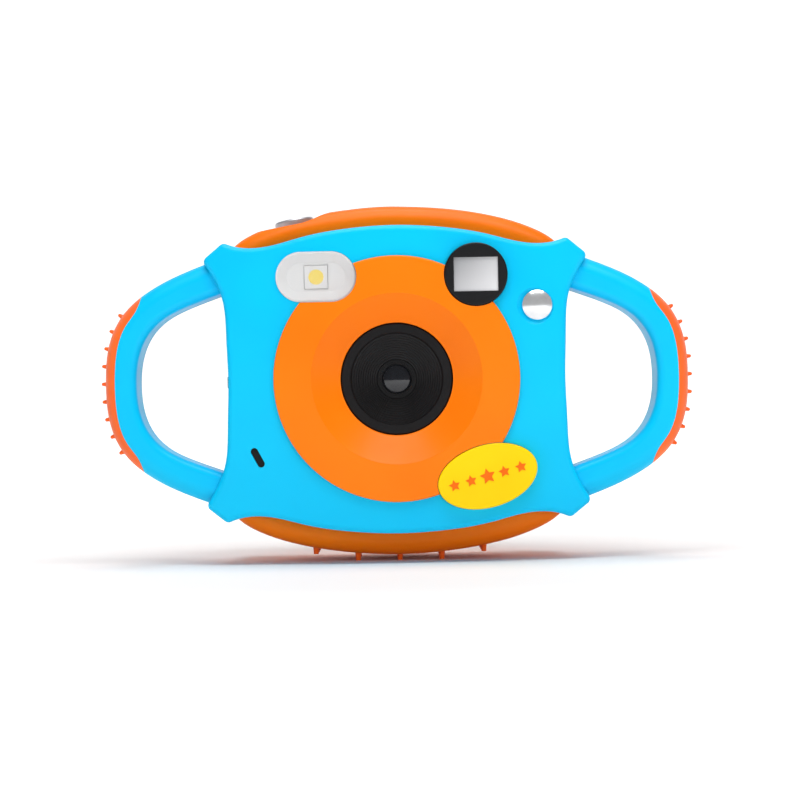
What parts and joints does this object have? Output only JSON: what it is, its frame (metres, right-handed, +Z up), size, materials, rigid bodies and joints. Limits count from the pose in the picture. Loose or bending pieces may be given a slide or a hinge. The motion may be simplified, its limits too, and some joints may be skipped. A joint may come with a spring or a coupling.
{
  "type": "kids digital camera",
  "caption": "Chunky toy digital camera with two padded handle loops, round lens fascia, flash, viewfinder, shutter button, back display and keys.",
  "frame": {"origin": "bottom centre of the whole camera's box, on the plane of the base nubs' tips", "axes": "+Z up, +X to the right seen from the front, the lens looks along -Y"},
  "size_m": [0.129, 0.039, 0.0783],
  "materials": {
    "blue_abs": "moulded blue ABS, satin gloss",
    "orange_abs": "moulded orange ABS, satin gloss",
    "orange_fascia": "moulded orange ABS, smooth",
    "orange_rubber": "soft orange TPU",
    "black_plastic": "black matt plastic",
    "grey_rubber": "dark grey TPU",
    "lens_glass": "coated optical glass",
    "clear_window": "clear acrylic",
    "flash_cover": "frosted clear acrylic",
    "display_glass": "dark glossy acrylic",
    "mirror_chrome": "vacuum-plated dome",
    "silver_plastic": "silver painted plastic",
    "yellow_plastic": "yellow plastic",
    "white_plastic": "white plastic",
    "blue_keys": "blue key caps",
    "phosphor": "LED phosphor",
    "orange_print": "orange raised print",
    "circuit_board": "green solder mask",
    "steel": "steel",
    "sensor_dark": "silicon behind glass",
    "battery_foil": "foil pouch cell",
    "filter_glass": "infrared filter glass"
  },
  "bodies": {
    "case": {"front_shell": "blue_abs", "rear_shell": "orange_abs", "base_grip_pad": "orange_rubber", "port_cover_pin": "steel", "lens_fascia": "orange_fascia", "lens_hood": "black_plastic", "lens_barrel": "black_plastic", "lens_retainer_ring": "black_plastic", "front_lens": "lens_glass", "rear_lens": "lens_glass", "lens_holder": "black_plastic", "infrared_filter": "filter_glass", "image_sensor": "sensor_dark", "flash_window": "flash_cover", "flash_reflector": "white_plastic", "flash_led": "white_plastic", "led_phosphor": "phosphor", "flash_board": "circuit_board", "viewfinder_bezel": "black_plastic", "viewfinder_front_window": "clear_window", "viewfinder_tube": "black_plastic", "viewfinder_eyepiece": "black_plastic", "viewfinder_rear_window": "clear_window", "selfie_mirror": "mirror_chrome", "badge_plate": "yellow_plastic", "badge_stars": "orange_print", "mic_mesh": "black_plastic", "microphone": "steel", "shutter_switch": "black_plastic", "shutter_board": "circuit_board", "key_switches": "steel", "key_board": "circuit_board", "main_board": "circuit_board", "display_panel": "sensor_dark", "display_frame": "steel", "display_window": "display_glass", "speaker": "steel", "battery": "battery_foil", "battery_bracket": "white_plastic", "usb_port": "steel", "card_socket": "steel", "memory_card": "black_plastic", "case_screws": "steel", "right_handle_front": "blue_abs", "left_handle_front": "blue_abs", "right_handle_rear": "blue_abs", "left_handle_rear": "blue_abs", "right_grip_pad": "orange_rubber", "left_grip_pad": "orange_rubber"},
    "shutter_button": {"shutter_button": "silver_plastic"},
    "port_cover": {"port_cover": "grey_rubber"},
    "key_ok": {"key_ok": "yellow_plastic"},
    "key_menu": {"key_menu": "blue_keys"},
    "key_mode": {"key_mode": "blue_keys"},
    "key_power": {"key_power": "silver_plastic"},
    "key_right": {"key_right": "blue_keys"},
    "key_up": {"key_up": "blue_keys"},
    "key_left": {"key_left": "blue_keys"},
    "key_down": {"key_down": "blue_keys"}
  },
  "joints": [
    {"name": "shutter_press", "type": "slide", "parent": "case", "child": "shutter_button", "axis": [0.165, 0, -0.9863], "range_m": [0, 0.0008], "stiffness_N_per_m": 700},
    {"name": "press_ok", "type": "slide", "parent": "case", "child": "key_ok", "axis": [0, -1, 0], "range_m": [0, 0.0005], "stiffness_N_per_m": 500},
    {"name": "press_menu", "type": "slide", "parent": "case", "child": "key_menu", "axis": [0, -1, 0], "range_m": [0, 0.0005], "stiffness_N_per_m": 500},
    {"name": "press_mode", "type": "slide", "parent": "case", "child": "key_mode", "axis": [0, -1, 0], "range_m": [0, 0.0005], "stiffness_N_per_m": 500},
    {"name": "press_power", "type": "slide", "parent": "case", "child": "key_power", "axis": [0, -1, 0], "range_m": [0, 0.0005], "stiffness_N_per_m": 500},
    {"name": "press_right", "type": "slide", "parent": "case", "child": "key_right", "axis": [0, -1, 0], "range_m": [0, 0.0005], "stiffness_N_per_m": 500},
    {"name": "press_up", "type": "slide", "parent": "case", "child": "key_up", "axis": [0, -1, 0], "range_m": [0, 0.0005], "stiffness_N_per_m": 500},
    {"name": "press_left", "type": "slide", "parent": "case", "child": "key_left", "axis": [0, -1, 0], "range_m": [0, 0.0005], "stiffness_N_per_m": 500},
    {"name": "press_down", "type": "slide", "parent": "case", "child": "key_down", "axis": [0, -1, 0], "range_m": [0, 0.0005], "stiffness_N_per_m": 500},
    {"name": "port_cover_hinge", "type": "hinge", "parent": "case", "child": "port_cover", "pos_m": [-0.03505, 0.0094, 0.04], "axis": [0, 0, -1], "range_deg": [0, 90]}
  ]
}
